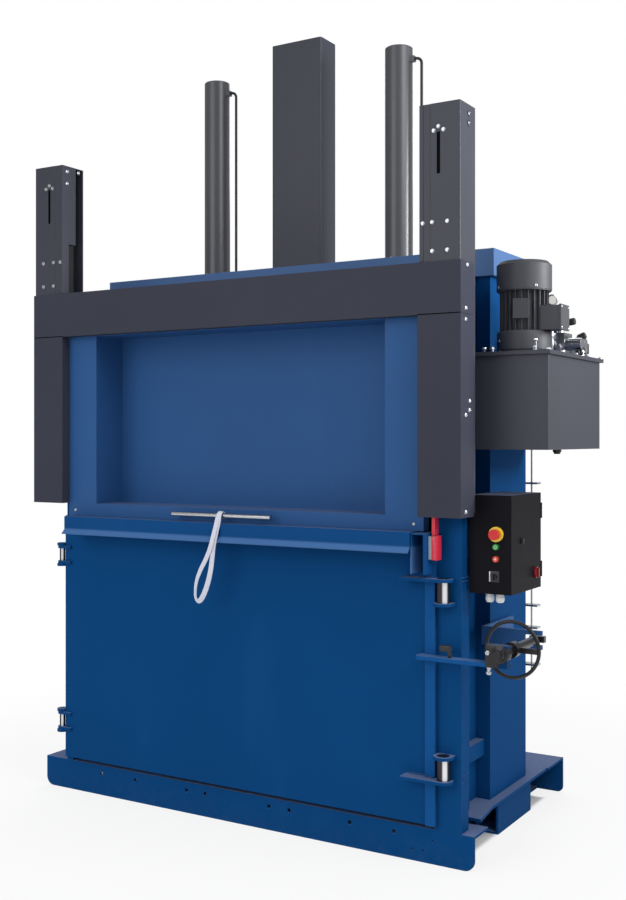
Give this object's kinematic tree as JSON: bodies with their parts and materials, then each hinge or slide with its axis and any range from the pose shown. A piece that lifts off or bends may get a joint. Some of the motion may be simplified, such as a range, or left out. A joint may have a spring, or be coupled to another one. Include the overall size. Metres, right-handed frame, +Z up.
{
  "type": "recycling baler",
  "caption": "Upright hydraulic baler with a hinged front door, a lifting gate, a press platen under a crosshead, side power unit and control box.",
  "frame": {"origin": "floor point on the press axis, at the centre of the floor anchors", "axes": "+Z up, +X to the machine's right as seen by someone who faces its door, -Y towards that person"},
  "size_m": [2.4015, 1.277, 3.42],
  "materials": {
    "blue_paint": "satin mid blue paint on the frame, door and gate",
    "dark_paint": "satin anthracite paint on covers, tank and box",
    "bright_steel": "bright zinc or machined steel",
    "chrome_rod": "hard chrome piston rods",
    "black_paint": "satin black paint on hand wheel, spindle and pipes",
    "motor_paint": "dark grey painted cast motor",
    "red_plastic": "glossy red plastic",
    "yellow_plastic": "glossy yellow plastic",
    "green_plastic": "glossy green plastic",
    "orange_plastic": "glossy orange red plastic",
    "black_plastic": "matt black plastic",
    "strap_fabric": "pale woven webbing",
    "cast_black": "dark cast iron counterweights"
  },
  "bodies": {
    "frame": {"base_front_beam": "blue_paint", "base_rear_beam": "blue_paint", "base_feet": "blue_paint", "floor_plate": "blue_paint", "side_wall_left": "blue_paint", "side_wall_right": "blue_paint", "back_wall": "blue_paint", "column_left": "blue_paint", "column_right": "blue_paint", "crosshead": "blue_paint", "post_left": "blue_paint", "post_right": "blue_paint", "tower_left": "dark_paint", "tower_right": "dark_paint", "cover_header": "dark_paint", "cover_leg_left": "dark_paint", "cover_leg_right": "dark_paint", "cylinder_left": "dark_paint", "cylinder_right": "dark_paint", "cylinder_pipes": "black_paint", "mast_guide": "blue_paint", "tank": "dark_paint", "tank_lid": "dark_paint", "motor": "motor_paint", "motor_cowl": "motor_paint", "terminal_box": "motor_paint", "valve_block": "bright_steel", "filler_cap": "black_plastic", "side_brackets": "blue_paint", "control_box": "black_paint", "mounting_plate": "bright_steel", "hinge_lugs": "blue_paint", "door_pins": "bright_steel", "latch_keeper": "blue_paint", "side_rod": "bright_steel", "interlock_key": "red_plastic", "stop_collar": "yellow_plastic"},
    "door": {"door_panel": "blue_paint", "door_edge_bar": "blue_paint", "door_ledge": "blue_paint", "door_hinge_plates": "blue_paint", "latch_arm": "blue_paint", "interlock_switch": "bright_steel"},
    "hand_wheel": {"hand_wheel": "black_paint", "wheel_spindle": "black_paint"},
    "gate": {"gate_panel": "blue_paint", "gate_handle": "bright_steel", "gate_shoes": "black_plastic", "pull_strap": "strap_fabric"},
    "counterweights": {"counterweights": "cast_black"},
    "platen": {"platen": "blue_paint", "piston_rods": "chrome_rod", "mast": "dark_paint"},
    "control_door": {"control_door": "black_paint"},
    "main_switch": {"main_switch": "red_plastic"},
    "control_lock": {"control_lock": "black_plastic"},
    "stop_button": {"stop_button": "red_plastic"},
    "start_button": {"start_button": "green_plastic"},
    "reset_button": {"reset_button": "orange_plastic"},
    "key_selector": {"key_selector": "black_plastic"}
  },
  "joints": [
    {"name": "door_hinge", "type": "hinge", "parent": "frame", "child": "door", "pos_m": [-0.975, -0.547, 0.7], "axis": [0, 0, 1], "range_deg": [-110, 0], "deforming": ["pull_strap"]},
    {"name": "wheel_spin", "type": "hinge", "parent": "door", "child": "hand_wheel", "pos_m": [1.207, -0.5, 0.835], "axis": [0, 1, 0], "continuous": true},
    {"name": "gate_slide", "type": "slide", "parent": "frame", "child": "gate", "axis": [0, 0, 1], "range_m": [0, 0.72]},
    {"name": "counterweight_slide", "type": "slide", "parent": "frame", "child": "counterweights", "axis": [0, 0, 1], "range_m": [-0.72, 0]},
    {"name": "platen_slide", "type": "slide", "parent": "frame", "child": "platen", "axis": [0, 0, 1], "range_m": [-0.85, 0]},
    {"name": "control_door_hinge", "type": "hinge", "parent": "frame", "child": "control_door", "pos_m": [1.202, -0.176, 1.2], "axis": [0, 0, 1], "range_deg": [0, 110]},
    {"name": "main_switch_turn", "type": "hinge", "parent": "control_door", "child": "main_switch", "pos_m": [1.202, -0.243, 1.096], "axis": [1, 0, 0], "range_deg": [0, 90]},
    {"name": "control_lock_turn", "type": "hinge", "parent": "control_door", "child": "control_lock", "pos_m": [1.202, -0.388, 1.228], "axis": [1, 0, 0], "range_deg": [0, 90]},
    {"name": "stop_push", "type": "slide", "parent": "frame", "child": "stop_button", "axis": [0, 1, 0], "range_m": [0, 0.004]},
    {"name": "start_push", "type": "slide", "parent": "frame", "child": "start_button", "axis": [0, 1, 0], "range_m": [0, 0.004], "stiffness_N_per_m": 800, "springref_m": -0.002},
    {"name": "reset_push", "type": "slide", "parent": "frame", "child": "reset_button", "axis": [0, 1, 0], "range_m": [0, 0.004], "stiffness_N_per_m": 800, "springref_m": -0.002},
    {"name": "key_turn", "type": "hinge", "parent": "frame", "child": "key_selector", "pos_m": [1.136, -0.5, 1.1], "axis": [0, 1, 0], "range_deg": [0, 90]}
  ],
  "couplings": [
    {"joint": "counterweight_slide", "follows": "gate_slide", "ratio": -1}
  ]
}
